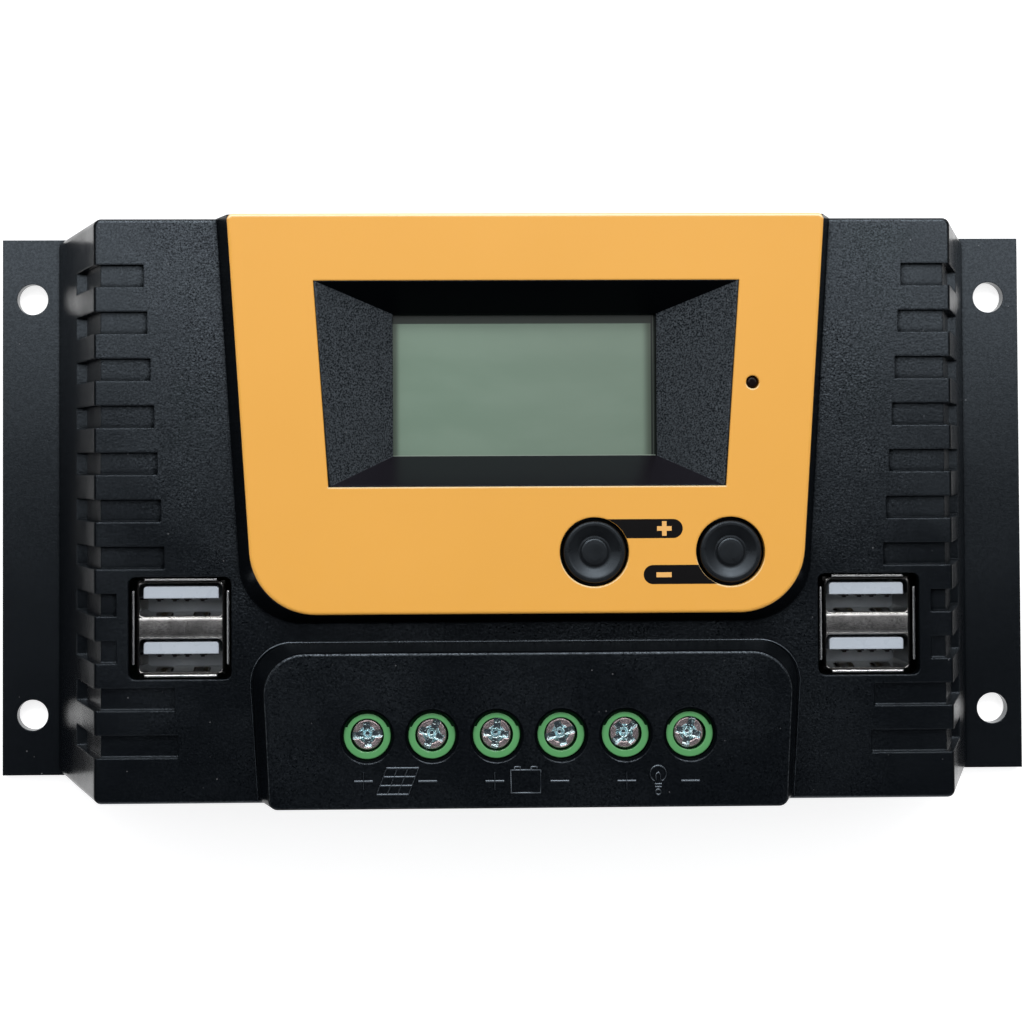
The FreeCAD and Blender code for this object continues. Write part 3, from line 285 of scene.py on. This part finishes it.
def display_glass():
    """Grey-green liquid-crystal glass with a painted shadow strip at its top, darker sides that hold both
    the crystal layer's border and painted shade, and a painted highlight along its near edge.
    """
    s = Shader("display_glass")

    def along_x(low, high):
        return s.ramp(s.x, low * MM, high * MM)

    smear = s.noise(18.0, 3.0, s.stretched(1.0, 2.2, 1.0))
    body = s.tint(s.ramp(smear, 0.35, 0.65), (0.166, 0.242, 0.184), (0.186, 0.264, 0.204))
    body = s.tint(s.times(along_x(-20, 14), 0.35), body, (0.170, 0.215, 0.175))
    # darker side bands: the crystal layer's border and painted shade together
    body = s.tint(along_x(GLASS_LEFT + 1.0, GLASS_LEFT), body, (0.095, 0.128, 0.100))
    body = s.tint(along_x(GLASS_RIGHT - 2.0, GLASS_RIGHT - 0.6), body, (0.075, 0.102, 0.078))
    # painted shadow: a dark strip where the opening's far edge shades the glass
    strip = s.ramp(s.y, (GLASS_SHADOW_Y - 0.06) * MM, (GLASS_SHADOW_Y + 0.06) * MM)
    body = s.tint(strip, body, (0.020, 0.032, 0.025))
    body = s.tint(along_x(GLASS_RIGHT - 0.45, GLASS_RIGHT - 0.30), body, (0.012, 0.018, 0.015))
    line = s.times(along_x(GLASS_RIGHT - 0.10, GLASS_RIGHT - 0.04),
                   along_x(GLASS_RIGHT + 0.08, GLASS_RIGHT + 0.02))
    # painted highlight: a light line along the display's near edge
    near_edge_highlight = s.ramp(s.y, (GLASS_NEAR_Y + 0.06) * MM, (GLASS_NEAR_Y - 0.04) * MM)
    colour = s.tint(s.math("MAXIMUM", s.times(line, 0.2), near_edge_highlight), body, (0.28, 0.34, 0.29))
    return s.finish(colour, 0.3, Specular_IOR_Level=0.25, Coat_Weight=0.10, Coat_Roughness=0.05,
                    Normal=s.bump(s.noise(6.0), 0.002))


def metal(name, colour, roughness, grain=(1.0, 1.0, 1.0), scratch=0.004, tarnish=0.25, shaded=True):
    """Bare metal with fine lines along one way, faint darker clouds and painted shade in tight corners."""
    def make():
        s = Shader(name)
        lines = s.noise(0.25, 3.0, s.stretched(*grain))
        clouds = s.ramp(s.noise(2.2, 4.0), 0.35, 0.7)
        darker = tuple(c * (1 - tarnish) for c in colour)
        deep = tuple(c * 0.12 for c in colour)
        shade = s.tint(clouds, colour, darker)
        if shaded:
            # painted shade: the colour goes dark in tight corners
            shade = s.tint(s.openness(0.8, 0.0, 1.0), deep, shade)
        return s.finish(shade, s.ramp(lines, 0.3, 0.7, roughness * 0.8, roughness * 1.25),
                        Metallic=1.0, Normal=s.bump(lines, scratch, s.soft_edges(0.15)))
    return make


def plastic(name, colour, roughness, spread=0.12, grain_mm=0.4, depth=0.004, edge_mm=0.12, **more):
    """Moulded plastic with a fine surface and slight variation in colour."""
    def make():
        s = Shader(name)
        other = tuple(min(1.0, c * (1 + spread)) for c in colour)
        rough = s.ramp(s.noise(2.0), 0.3, 0.7, roughness * 0.85, roughness * 1.15)
        return s.finish(s.tint(s.noise(5.0, 3.0), colour, other), rough,
                        Normal=s.bump(s.noise(grain_mm), depth, s.soft_edges(edge_mm)), **more)
    return make


def zinc_steel():
    """Zinc-plated steel: pinkish on the screw heads, bluish down in their recesses, plain on the clamps."""
    s = Shader("zinc_steel")
    top = s.ramp(s.z, (HEAD_TOP - 0.25) * MM, HEAD_TOP * MM)
    clouds = s.ramp(s.noise(1.1, 2.0), 0.35, 0.7)
    head = s.ramp(s.z, (HEAD_LOW - 0.2) * MM, (HEAD_LOW + 0.1) * MM)
    flat = s.tint(clouds, (0.86, 0.72, 0.73), (0.66, 0.55, 0.56))
    deep = s.tint(clouds, (0.50, 0.66, 0.70), (0.78, 0.90, 0.92))
    clamp = s.tint(clouds, (0.58, 0.60, 0.62), (0.50, 0.52, 0.54))
    colour = s.tint(head, clamp, s.tint(top, deep, flat))
    rough = s.mix(head, s.ramp(s.noise(0.8), 0.3, 0.7, 0.28, 0.36), s.mix(top, 0.14, 0.26))
    dents = s.times(s.noise(0.6), head, s.mix(top, 1.0, 0.25))
    return s.finish(colour, rough, Metallic=1.0, Normal=s.bump(dents, 0.08, s.soft_edges(0.22)))


def terminal_green():
    """Green terminal plastic, with painted shade down in the shafts round the screws."""
    s = Shader("terminal_green")
    shaft = s.times(s.ramp(s.z, 34 * MM, 36 * MM), s.ramp(s.z, 44.0 * MM, 43.6 * MM))
    green = s.tint(s.noise(5.0, 3.0), (0.105, 0.345, 0.125), (0.130, 0.410, 0.155))
    # painted shade: the shaft walls darken toward the bottom
    inside = s.tint(s.ramp(s.z, 39 * MM, 42 * MM), (0.002, 0.008, 0.004), (0.010, 0.060, 0.020))
    return s.finish(s.tint(shaft, green, inside), s.ramp(s.noise(2.0), 0.3, 0.7, 0.11, 0.17),
                    Normal=s.bump(s.noise(0.5), 0.004, s.soft_edges(0.25)),
                    Specular_IOR_Level=s.mix(shaft, 0.9, 0.1))


def nickel_steel():
    """Nickel-plated sheet of the sockets, with a painted highlight on its proud rims and painted shade in
    the gaps round the ports and the split in its bottom rim.
    """
    s = Shader("nickel_steel")
    across = s.size(s.math("SUBTRACT", s.size(s.x), SOCKET_X * MM))
    along = s.math("SUBTRACT", s.y, SOCKET_Y * MM)
    beside = s.ramp(across, (SHELL_HALF_X - 0.04) * MM, (SHELL_HALF_X + 0.04) * MM)
    beyond = s.ramp(s.size(along), 7.14 * MM, 7.20 * MM)
    lip = s.ramp(s.z, (LIP_Z - 0.01) * MM, (LIP_Z + 0.02) * MM)
    # painted shade: the metal in the gaps round the ports and in the split of the bottom rim is coloured
    # near black
    gap_shade = s.times(s.math("MAXIMUM", beside, beyond), s.math("SUBTRACT", 1.0, lip))
    split = s.times(s.math("LESS_THAN", across, 0.07 * MM), s.math("LESS_THAN", along, -7.3 * MM))
    lines = s.noise(0.25, 3.0, s.stretched(3.0, 0.4, 1.0))
    clouds = s.ramp(s.noise(2.2, 4.0), 0.35, 0.7)
    # painted highlight: the proud rims are coloured far brighter than the rest of the sheet
    bright = s.tint(lip, s.tint(clouds, (0.60, 0.59, 0.57), (0.46, 0.45, 0.43)), (0.92, 0.92, 0.92))
    colour = s.tint(s.math("MAXIMUM", gap_shade, split), bright, (0.035, 0.034, 0.033))
    return s.finish(colour, s.ramp(lines, 0.3, 0.7, 0.15, 0.22), Metallic=1.0,
                    Normal=s.bump(lines, 0.004, s.soft_edges(0.3)))


def board_green():
    """Solder mask over copper lines."""
    s = Shader("board_green")
    lines = s.add("ShaderNodeTexWave", {"Vector": s.place, "Scale": 90.0, "Distortion": 6.0, "Detail": 1.0})
    over = s.ramp(lines.outputs[1], 0.45, 0.55)
    colour = s.tint(over, (0.002, 0.012, 0.006), (0.003, 0.020, 0.009))
    return s.finish(colour, 0.28, Normal=s.bump(over, 0.02))


MAKERS = {
    "black_plate": black_plate,
    "cover_plastic": cover_plastic,
    "face_plastic": face_plastic,
    "button_plastic": button_plastic,
    "black_plastic": plastic("black_plastic", (0.012, 0.012, 0.013), 0.45),
    "white_plastic": plastic("white_plastic", (0.46, 0.51, 0.57), 0.30, 0.06, edge_mm=0.3),
    "clear_plastic": plastic("clear_plastic", (0.006, 0.004, 0.004), 0.08, 0.2, 1.0, 0.001,
                             Specular_IOR_Level=0.15),
    "display_glass": display_glass,
    "tinned_metal": metal("tinned_metal", (0.62, 0.61, 0.58), 0.35),
    "board_green": board_green,
    "brass_metal": metal("brass_metal", (0.70, 0.50, 0.20), 0.28, (1.0, 1.0, 6.0)),
    "zinc_steel": zinc_steel,
    "terminal_green": terminal_green,
    "nickel_steel": nickel_steel,
    "spring_steel": metal("spring_steel", (0.42, 0.40, 0.37), 0.20, (3.0, 0.4, 1.0), 0.003, 0.2, False),
    "divider_steel": metal("divider_steel", (0.31, 0.305, 0.30), 0.20, (0.5, 2.0, 1.0), 0.005, 0.3, False),
    "moulded_line": moulded_line,
    "gold_contact": metal("gold_contact", (0.40, 0.31, 0.17), 0.22),
    "grey_rubber": plastic("grey_rubber", (0.25, 0.25, 0.26), 0.6),
    "bare_aluminium": metal("bare_aluminium", (0.75, 0.75, 0.76), 0.32, (0.3, 3.0, 1.0)),
    "ferrite": plastic("ferrite", (0.02, 0.02, 0.022), 0.5),
    "copper_wire": metal("copper_wire", (0.62, 0.27, 0.12), 0.25),
    "fuse_plastic": plastic("fuse_plastic", (0.75, 0.30, 0.04), 0.2),
    "ceramic": plastic("ceramic", (0.42, 0.30, 0.20), 0.4),
    "printed_black": printed_black,
    "printed_yellow": printed_yellow,
}
FINISHES = {name: make() for name, make in MAKERS.items()}

for part in frame["record"]["subparts"]:
    mesh = frame["nodes"][part["node"]].data
    mesh.materials.clear()
    mesh.materials.append(FINISHES[part["material_slot"]])


# ---- pieces ----

def piece(name, mesh_or_curve, finish):
    """Puts a finished piece on the housing."""
    made = bpy.data.objects.new(name, mesh_or_curve)
    bpy.context.scene.collection.objects.link(made)
    mesh_or_curve.materials.append(FINISHES[finish])
    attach(made, "housing")
    return made


def slab(outline, low, high):
    """A flat mesh from a closed outline in (x, y), between two heights; all in millimetres."""
    shape = bmesh.new()
    corners = [shape.verts.new(Vector((x, y, low)) * MM) for x, y in outline]
    base = shape.faces.new(corners)
    grown = bmesh.ops.extrude_face_region(shape, geom=[base])
    lifted = [v for v in grown["geom"] if isinstance(v, bmesh.types.BMVert)]
    bmesh.ops.translate(shape, vec=Vector((0, 0, high - low)) * MM, verts=lifted)
    bmesh.ops.recalc_face_normals(shape, faces=shape.faces)
    made = bpy.data.meshes.new("slab")
    shape.to_mesh(made)
    shape.free()
    return made


def arc(centre, radius, start, end, steps=24):
    """Points along a circle between two angles in degrees."""
    turns = [math.radians(start + (end - start) * i / steps) for i in range(steps + 1)]
    return [(centre[0] + radius * math.cos(a), centre[1] + radius * math.sin(a)) for a in turns]


def printed_tab(name, hole, way, middle_y, end_x, half=1.5):
    """A black bar that starts at a button's hole and ends in a half circle, to the right or left of it."""
    levels = (middle_y + way * half, middle_y - way * half)
    upper, lower = (math.degrees(math.asin((level - hole[1]) / BUTTON_HOLE)) for level in levels)
    if way > 0:
        outline = arc(hole, BUTTON_HOLE, upper, lower) + arc((end_x, middle_y), half, -90, 90)
    else:
        outline = arc(hole, BUTTON_HOLE, 180 - upper, 180 - lower) + arc((end_x, middle_y), half, 90, 270)
    return piece(name, slab(outline, FACE_TOP, FACE_TOP + 0.03), "printed_black")


def sign(name, centre, long, wide, plus):
    """A yellow plus or minus sign on a tab."""
    x, y = centre
    a, b = long / 2, wide / 2
    if plus:
        corners = [(-b, -a), (b, -a), (b, -b), (a, -b), (a, b), (b, b), (b, a), (-b, a), (-b, b), (-a, b),
                   (-a, -b), (-b, -b)]
    else:
        corners = [(-a, -b), (a, -b), (a, b), (-a, b)]
    outline = [(x + across, y + up) for across, up in corners]
    return piece(name, slab(outline, FACE_TOP, FACE_TOP + 0.05), "printed_yellow")


printed_tab("plus_tab", BUTTON_LEFT, 1, -3.07, 22.9)
printed_tab("minus_tab", BUTTON_RIGHT, -1, -10.3, 19.69)
sign("plus_sign", (21.49, -3.06), 2.3, 0.72, True)
sign("minus_sign", (21.4, -10.34), 2.4, 0.78, False)


def strokes(name, paths, finish, radius=0.15, height=FACE_TOP):
    """Round raised lines moulded on a surface, each path a list of (x, y)."""
    curve = bpy.data.curves.new(name, "CURVE")
    curve.dimensions = "3D"
    curve.bevel_depth = radius * MM
    curve.bevel_resolution = 2
    curve.use_fill_caps = True
    for path in paths:
        closed = path[0] == path[-1]
        points = path[:-1] if closed else path
        line = curve.splines.new("POLY")
        line.points.add(len(points) - 1)
        line.use_cyclic_u = closed
        for point, (x, y) in zip(line.points, points):
            point.co = (x * MM, y * MM, height * MM, 1.0)
    return piece(name, curve, finish)


def bar(x, y, long=2.9, upright=False):
    half = long / 2
    return [(x, y - half), (x, y + half)] if upright else [(x - half, y), (x + half, y)]


POLE_MARKS = ((-25.97, -42.33), (-15.93, -42.39), (-5.42, -42.46), (4.78, -42.52), (15.30, -42.58),
              (25.36, -42.64))
for place, (x, y) in enumerate(POLE_MARKS, 1):
    paths = [bar(x, y)]
    if place % 2:  # every other one is a plus
        paths.append(bar(x, y, 2.7, True))
    strokes(f"pole_mark_{place}", paths, "moulded_line", 0.2)


def panel_icon(x, y):
    """A slanted solar panel of three by three cells."""
    wide, tall, lean = 5.0, 4.1, 1.6
    def at(across, up):
        return x - wide / 2 + wide * across + lean * (up - 0.5), y + tall * (up - 0.5)
    rows = [[at(0, k / 3), at(1, k / 3)] for k in range(4)]
    columns = [[at(k / 3, 0), at(k / 3, 1)] for k in range(4)]
    return rows + columns


def battery_icon(x, y):
    """A box with two terminals on top."""
    a, b = 2.35, 1.8
    paths = [[(x - a, y - b), (x + a, y - b), (x + a, y + b), (x - a, y + b), (x - a, y - b)]]
    for nub in (x - 1.3, x + 1.3):
        low, high = y + b, y + b + 0.5
        paths.append([(nub - 0.45, low), (nub - 0.45, high), (nub + 0.45, high), (nub + 0.45, low)])
    return paths


def bulb_icon(x, y):
    """A lamp: round bulb, filament, two neck bars and a small ring."""
    bulb = arc((x, y), 1.27, -60, 240, 28)
    neck = [[(x - 0.55, y - 1.6), (x + 0.55, y - 1.6)], [(x - 0.5, y - 2.05), (x + 0.5, y - 2.05)]]
    filament = [(x - 0.35, y - 1.1), (x - 0.35, y - 0.1), (x, y + 0.25), (x + 0.35, y - 0.1),
                (x + 0.35, y - 1.1)]
    ring = arc((x, y - 2.85), 0.42, 0, 360, 16)
    ring[-1] = ring[0]
    return [bulb, filament, *neck, ring]


strokes("panel_icon", panel_icon(-20.64, -42.36), "moulded_line", 0.18)
strokes("battery_icon", battery_icon(-0.56, -42.56), "moulded_line", 0.2)
strokes("bulb_icon", bulb_icon(20.26, -41.52), "moulded_line", 0.16)
far_right = arc(HOOD_CORNER, HOOD_CORNER_RADIUS, 0, 90)
far_left = [(-x, y) for x, y in reversed(far_right)]
foot_end = COVER_END_Y + 0.3
foot = [(HOOD_SIDE, foot_end), *far_right, *far_left, (-HOOD_SIDE, foot_end)]
strokes("hood_foot_bead", [foot], "moulded_line", 0.14, DECK_TOP)


def smooth_but_sharp(shape):
    """Shades a mesh smooth and keeps the edges between strongly tilted faces crisp."""
    bmesh.ops.recalc_face_normals(shape, faces=shape.faces)
    for face in shape.faces:
        face.smooth = True
    for edge in shape.edges:
        edge.smooth = edge.calc_face_angle(0.0) < math.radians(40)


def spring(name, start, bulge, across, half_wide, low, high, thick=0.2):
    """A sprung strip cut from the shell: it leaves the wall, bows into the port and comes back."""
    shape = bmesh.new()
    steps = 14
    rings = []
    for i in range(steps + 1):
        part = i / steps
        bow = math.sin(math.pi * part) ** 1.3
        height = high + (low - high) * part
        ring = []
        for side, skin in ((-1, 0), (1, 0), (1, 1), (-1, 1)):
            spot = start + bulge * (bow - (thick / bulge.length) * skin) + across * (side * half_wide)
            ring.append(shape.verts.new(Vector((spot.x, spot.y, height)) * MM))
        rings.append(ring)
    for a, b in zip(rings, rings[1:]):
        for k in range(4):
            shape.faces.new((a[k], a[(k + 1) % 4], b[(k + 1) % 4], b[k]))
    shape.faces.new(rings[0])
    shape.faces.new(rings[-1])
    smooth_but_sharp(shape)
    made = bpy.data.meshes.new(name)
    shape.to_mesh(made)
    shape.free()
    return piece(name, made, "spring_steel")


def folded_sheet(name, profile, low_x, high_x, finish):
    """A strip of sheet metal that runs along X, its cross-section a closed list of (y, z)."""
    shape = bmesh.new()
    ends = [[shape.verts.new(Vector((x, y, z)) * MM) for y, z in profile] for x in (low_x, high_x)]
    count = len(profile)
    for k in range(count):
        shape.faces.new((ends[0][k], ends[0][(k + 1) % count], ends[1][(k + 1) % count], ends[1][k]))
    for end in ends:
        shape.faces.new(end)
    smooth_but_sharp(shape)
    made = bpy.data.meshes.new(name)
    shape.to_mesh(made)
    shape.free()
    return piece(name, made, finish)


# The rounded fold over the divider between two ports: (y, z) from its upper edge to its lower edge.
FOLD = ((1.84, 36.30), (1.80, 36.48), (1.66, 36.58), (1.48, 36.66), (1.34, 36.70), (1.15, 36.72),
        (-1.22, 36.72), (-1.34, 36.60), (-1.46, 36.60), (-1.54, 36.70), (-1.66, 36.66), (-1.80, 36.50),
        (-1.84, 36.30), (-1.84, 36.05), (1.84, 36.05))
# Across a port: where its four contacts stand, and the stepped outline of the painted shade in the slot at
# a contact's end, as (right, down) from the tongue's face.
SLOTS_X = (-3.5, -1.0, 1.0, 3.5)
SLOT_SHADE_OUTLINE = ((-0.55, 0), (-0.55, 0.25), (-0.35, 0.25), (-0.35, 0.5), (0.25, 0.5), (0.25, 0.25),
               (0.65, 0.25), (0.65, 0))

for side, way in (("left", -1), ("right", 1)):
    x = way * SOCKET_X
    fold = [(SOCKET_Y + y, z) for y, z in FOLD]
    folded_sheet(f"usb_fold_{side}", fold, x - SHELL_HALF_X, x + SHELL_HALF_X, "divider_steel")
    for row in (0, 1):
        y = SOCKET_Y + (row - 0.5) * PORT_PITCH
        wall = y - PORT_TALL / 2
        for letter, k in (("a", -1), ("b", 1)):
            spring(f"usb_spring_{side}_{row + 1}_{letter}", Vector((x + k * 3.0, wall, 0)),
                   Vector((0, 0.5, 0)), Vector((1, 0, 0)), 1.2, 29.0, 35.6)
        spring(f"usb_side_spring_{side}_{row + 1}", Vector((x - PORT_WIDE / 2, y - 0.9, 0)),
               Vector((0.9, 0, 0)), Vector((0, 1, 0)), 0.8, 28.5, 35.0)
        for k, across in enumerate(SLOTS_X, 1):
            shade_outline = [(x + across + right, y + TONGUE_FACE - down) for right, down in SLOT_SHADE_OUTLINE]
            # painted shade: a thin black sheet stands for the shadowed slot at each contact's end
            piece(f"usb_contact_end_{side}_{row + 1}_{k}", slab(shade_outline, 35.3, 35.85), "printed_black")


# ---- setting ----

def floor():
    """A plain pale sheet, a tenth of a millimetre under the plate."""
    shape = bmesh.new()
    half = 2.2
    outline = ((-half, -half), (half, -half), (half, half), (-half, half))
    shape.faces.new([shape.verts.new((x, y, -0.0001)) for x, y in outline])
    bmesh.ops.subdivide_edges(shape, edges=shape.edges, cuts=3, use_grid_fill=True)
    made = bpy.data.meshes.new("floor")
    shape.to_mesh(made)
    shape.free()
    s = Shader("pale_floor")
    colour = s.tint(s.noise(400.0), (0.55, 0.55, 0.55), (0.57, 0.57, 0.57))
    made.materials.append(s.finish(colour, 0.9, Specular_IOR_Level=0.0, Emission_Color=(1.0, 1.0, 1.0, 1.0),
                                   Emission_Strength=0.80))
    thing = bpy.data.objects.new("floor", made)
    bpy.context.scene.collection.objects.link(thing)


def softbox(name, place, aim, wide, long, radiance):
    """A soft rectangular light of an even radiance."""
    light = bpy.data.lights.new(name, "AREA")
    light.shape = "RECTANGLE"
    light.size = wide
    light.size_y = long
    light.energy = radiance * wide * long * math.pi
    thing = bpy.data.objects.new(name, light)
    thing.location = place
    thing.rotation_euler = (Vector(aim) - Vector(place)).to_track_quat("-Z", "Y").to_euler()
    thing.visible_camera = False
    bpy.context.scene.collection.objects.link(thing)
    return thing


def room_light():
    """A pale room below and a dark ceiling above."""
    world = bpy.data.worlds.new("room")
    world.use_nodes = True
    nodes, links = world.node_tree.nodes, world.node_tree.links
    nodes.clear()
    way = nodes.new("ShaderNodeTexCoord")
    parts = nodes.new("ShaderNodeSeparateXYZ")
    links.new(way.outputs["Generated"], parts.inputs[0])
    level = nodes.new("ShaderNodeMapRange")
    level.interpolation_type = "SMOOTHSTEP"
    level.inputs["From Min"].default_value = math.sin(math.radians(33))
    level.inputs["From Max"].default_value = math.sin(math.radians(52))
    links.new(parts.outputs[2], level.inputs["Value"])
    mix = nodes.new("ShaderNodeMix")
    mix.data_type = "RGBA"
    mix.inputs[6].default_value = (0.50, 0.51, 0.53, 1.0)
    mix.inputs[7].default_value = (0.04, 0.043, 0.05, 1.0)
    links.new(level.outputs[0], mix.inputs[0])
    back = nodes.new("ShaderNodeBackground")
    links.new(mix.outputs[2], back.inputs[0])
    out = nodes.new("ShaderNodeOutputWorld")
    links.new(back.outputs[0], out.inputs[0])
    bpy.context.scene.world = world


def camera():
    lens = bpy.data.cameras.new("camera")
    lens.sensor_width = 36.0
    lens.lens = 76.963
    lens.shift_x = 0.045
    lens.shift_y = -0.10
    lens.clip_start = 0.01
    lens.clip_end = 10.0
    thing = bpy.data.objects.new("camera", lens)
    thing.location = Vector((-19.315, 7.412, 389.694)) * MM
    thing.rotation_euler = Euler([math.radians(a) for a in (1.4009, -1.5965, -0.2657)], "XYZ")
    bpy.context.scene.collection.objects.link(thing)
    bpy.context.scene.camera = thing


floor()
softbox("overhead", (0.0, 0.64, 1.2), (0.0, 0.64, 0.0), 1.8, 1.12, 2.0)
softbox("strip", (0.0, 0.90, 1.19), (0.0, 0.90, 0.0), 1.3, 0.34, 9.0)
room_light()
camera()
bpy.context.scene.view_settings.view_transform = "Standard"
